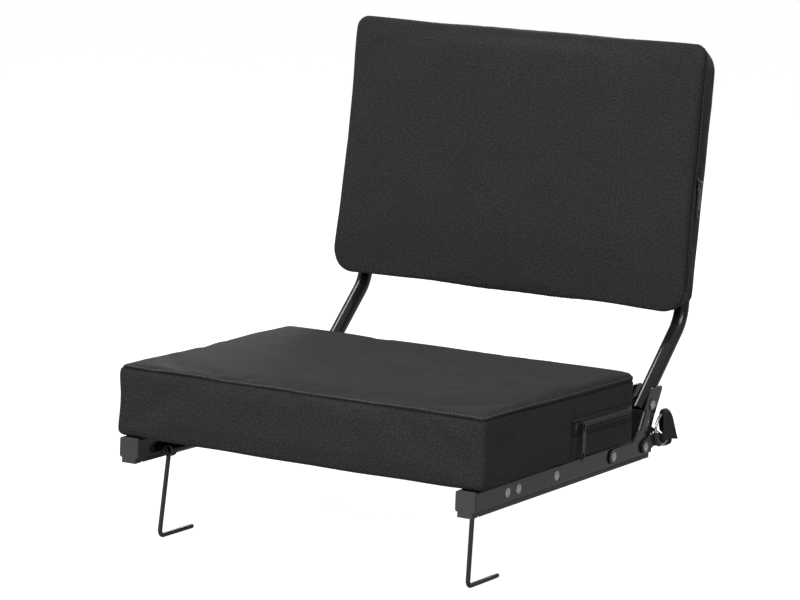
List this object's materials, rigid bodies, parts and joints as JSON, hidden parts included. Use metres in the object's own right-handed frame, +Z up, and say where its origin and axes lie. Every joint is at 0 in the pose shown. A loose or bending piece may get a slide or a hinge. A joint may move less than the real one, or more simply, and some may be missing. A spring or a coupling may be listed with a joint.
{
  "type": "bleacher seat",
  "caption": "Folding padded stadium seat on two steel rails with bench hooks, a hinged padded back on a bent tube frame and a webbing carry strap.",
  "frame": {"origin": "middle of the width and depth of the whole seat, at the lowest point of the hooks' feet", "axes": "+X to the right seen from the front, +Y towards the back, +Z up from the rails to the seat pad"},
  "size_m": [0.4439, 0.5042, 0.5155],
  "materials": {
    "coated_steel": "glossy black powder coat",
    "zinc": "bright zinc plate",
    "wire": "plated steel wire",
    "cap_plastic": "dark grey moulded plastic",
    "foot_rubber": "matt black rubber",
    "nylon": "natural nylon",
    "cover_cloth": "charcoal woven polyester",
    "base_cloth": "thin black dust cloth",
    "webbing": "black woven webbing",
    "plywood": "bare plywood",
    "foam": "open-cell foam",
    "panel_board": "hardboard",
    "zip_tape": "black zip teeth on woven tape",
    "zip_metal": "black enamelled zip metal",
    "tab_steel": "dark grey coated sheet"
  },
  "bodies": {
    "seat_base": {"left_rail": "coated_steel", "right_rail": "coated_steel", "left_foot_strip": "foot_rubber", "right_foot_strip": "foot_rubber", "front_left_cap": "cap_plastic", "front_right_cap": "cap_plastic", "rear_left_cap": "cap_plastic", "rear_right_cap": "cap_plastic", "middle_cross_bar": "coated_steel", "rear_cross_bar": "coated_steel", "base_cloth": "base_cloth", "seat_board": "plywood", "seat_screws": "zinc", "seat_foam": "foam", "seat_cover": "cover_cloth", "pocket_panel": "cover_cloth", "pocket_zip": "zip_tape", "left_hinge_bracket": "coated_steel", "right_hinge_bracket": "coated_steel", "left_rail_rivets": "zinc", "right_rail_rivets": "zinc", "left_pivot_rivet": "zinc", "right_pivot_rivet": "zinc", "left_pivot_spacers": "nylon", "right_pivot_spacers": "nylon", "left_hook_bracket": "coated_steel", "right_hook_bracket": "coated_steel", "left_hook_pin": "zinc", "right_hook_pin": "zinc"},
    "back": {"back_frame": "coated_steel", "back_panel": "panel_board", "back_foam": "foam", "back_cover": "cover_cloth", "back_zip": "zip_tape"},
    "left_hook_wire": {"left_hook": "wire"},
    "right_hook_wire": {"right_hook": "wire"},
    "strap": {"left_strap_tab": "tab_steel", "right_strap_tab": "tab_steel", "left_strap_ring": "zinc", "right_strap_ring": "zinc", "carry_strap": "webbing"},
    "pocket_zip_slider": {"pocket_slider": "zip_metal"},
    "pocket_zip_pull": {"pocket_pull": "zip_metal"},
    "back_zip_slider": {"back_slider": "zip_metal"},
    "back_zip_pull": {"back_pull": "zip_metal"}
  },
  "joints": [
    {"name": "back_fold", "type": "hinge", "parent": "seat_base", "child": "back", "pos_m": [0, 0.12539, 0.1409], "axis": [1, 0, 0], "range_deg": [0, 90]},
    {"name": "right_hook_swing", "type": "hinge", "parent": "seat_base", "child": "right_hook_wire", "pos_m": [0.18, -0.20171, 0.0914], "axis": [0, 1, 0], "range_deg": [0, 90]},
    {"name": "left_hook_swing", "type": "hinge", "parent": "seat_base", "child": "left_hook_wire", "pos_m": [-0.18, -0.20171, 0.0914], "axis": [0, -1, 0], "range_deg": [0, 90]},
    {"name": "strap_swing", "type": "hinge", "parent": "seat_base", "child": "strap", "pos_m": [0, 0.10839, 0.0984], "axis": [1, 0, 0], "range_deg": [0, 16]},
    {"name": "pocket_zip_slide", "type": "slide", "parent": "seat_base", "child": "pocket_zip_slider", "axis": [0, 1, 0], "range_m": [0, 0.105]},
    {"name": "pocket_pull_swing", "type": "hinge", "parent": "pocket_zip_slider", "child": "pocket_zip_pull", "pos_m": [0.22186, -0.05111, 0.1454], "axis": [0, -1, 0], "range_deg": [0, 100]},
    {"name": "back_zip_slide", "type": "slide", "parent": "back", "child": "back_zip_slider", "axis": [0.0182, -0.1149, -0.9932], "range_m": [0, 0.1]},
    {"name": "back_pull_swing", "type": "hinge", "parent": "back_zip_slider", "child": "back_zip_pull", "pos_m": [0.21842, 0.20143, 0.36957], "axis": [0.1305, -0.9846, 0.1163], "range_deg": [0, 100]}
  ]
}
